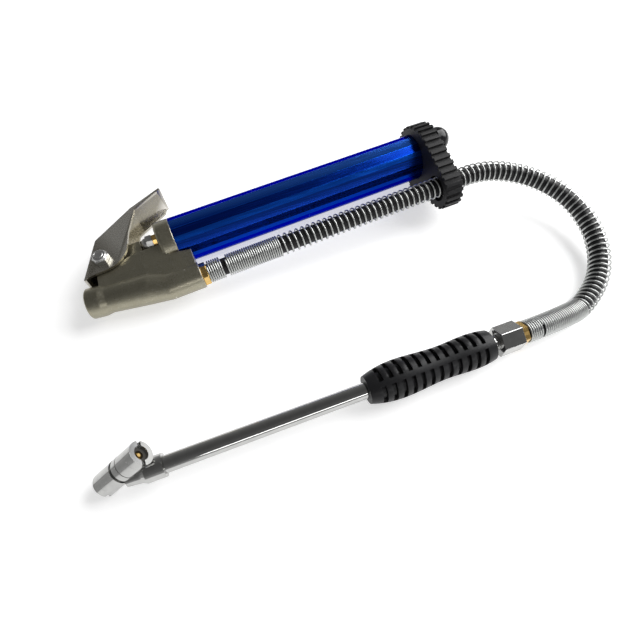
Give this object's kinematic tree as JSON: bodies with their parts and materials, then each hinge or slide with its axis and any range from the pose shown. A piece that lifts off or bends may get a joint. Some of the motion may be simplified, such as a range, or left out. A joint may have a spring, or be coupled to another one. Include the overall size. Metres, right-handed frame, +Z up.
{
  "type": "tyre inflator with gauge and dual-foot chuck",
  "caption": "Hand-held tyre inflator: lever valve in a nickel casting, blue gauge barrel with a rubber end cap, guarded hose and a lance with a black grip and a dual-foot chuck.",
  "frame": {"origin": "middle of the air inlet's mouth, where the air line screws in", "axes": "+X along the gauge barrel from the inlet towards the end cap, level with the table that it lies on; +Y across, towards the lever; +Z up from the table"},
  "size_m": [0.3686, 0.2088, 0.0511],
  "materials": {
    "casting": "satin nickel plated casting",
    "lever": "satin nickel plated pressed steel",
    "zinc": "zinc plated",
    "blue": "blue anodised",
    "cap_rubber": "matte moulded rubber",
    "cap_gloss": "glossy",
    "brass": "turned brass",
    "chrome": "bright chrome",
    "grip_plastic": "satin moulded plastic",
    "hose_rubber": "smooth rubber",
    "spring_wire": "zinc plated spring wire",
    "seal_rubber": "seal rubber",
    "lens": "clear plastic",
    "indicator_red": "moulded plastic"
  },
  "bodies": {
    "tool": {"barrel": "blue", "barrel_gasket": "seal_rubber", "barrel_plug": "cap_gloss", "body_casting": "casting", "cap_button": "cap_gloss", "cap_nut": "zinc", "chuck_body": "chrome", "chuck_cap_lower": "chrome", "chuck_cap_upper": "chrome", "chuck_seal_lower": "seal_rubber", "chuck_seal_upper": "seal_rubber", "coupling": "chrome", "depressor_spring_lower": "spring_wire", "depressor_spring_upper": "spring_wire", "end_cap": "cap_rubber", "gauge_screw": "zinc", "gauge_spring": "spring_wire", "grip": "grip_plastic", "guard_collar_body": "spring_wire", "guard_collar_lance": "spring_wire", "hose": "hose_rubber", "hose_guard": "spring_wire", "inlet_strainer": "brass", "lance_hose_fitting": "brass", "lance_tube": "chrome", "outlet_fitting": "brass", "pivot_bolt": "zinc", "pivot_nut": "zinc", "screw_spacer": "brass", "stem_o_ring": "seal_rubber", "valve_gland": "brass", "valve_seat": "brass", "valve_spring": "spring_wire", "window_lens": "lens"},
    "moving_lever": {"lever": "lever"},
    "valve": {"valve_stem": "chrome", "valve_poppet": "brass", "poppet_seal": "seal_rubber"},
    "moving_gauge_piston": {"gauge_piston": "brass", "piston_seal": "seal_rubber", "indicator": "indicator_red"},
    "moving_depressor_upper": {"depressor_upper": "brass"},
    "moving_depressor_lower": {"depressor_lower": "brass"}
  },
  "joints": [
    {"name": "lever_squeeze", "type": "hinge", "parent": "tool", "child": "moving_lever", "pos_m": [0.01618, 0.0238, 0.00072], "axis": [0.0441, 0, -0.999], "range_deg": [0, 16], "stiffness_Nm_per_rad": 0.6},
    {"name": "valve_press", "type": "slide", "parent": "tool", "child": "valve", "axis": [0, -1, 0], "range_m": [0, 0.006], "stiffness_N_per_m": 150, "deforming": ["valve_spring"]},
    {"name": "gauge_reading", "type": "slide", "parent": "tool", "child": "moving_gauge_piston", "axis": [0.9988, 0.0218, 0.0441], "range_m": [0, 0.095], "stiffness_N_per_m": 60, "deforming": ["gauge_spring"]},
    {"name": "depress_upper", "type": "slide", "parent": "tool", "child": "moving_depressor_upper", "axis": [-0.8225, -0.0766, -0.5635], "range_m": [0, 0.0016], "stiffness_N_per_m": 200, "deforming": ["depressor_spring_upper"]},
    {"name": "depress_lower", "type": "slide", "parent": "tool", "child": "moving_depressor_lower", "axis": [0.8225, 0.0766, 0.5635], "range_m": [0, 0.0016], "stiffness_N_per_m": 200, "deforming": ["depressor_spring_lower"]}
  ],
  "couplings": [
    {"joint": "valve_press", "follows": "lever_squeeze", "m_per_rad": 0.02077}
  ]
}
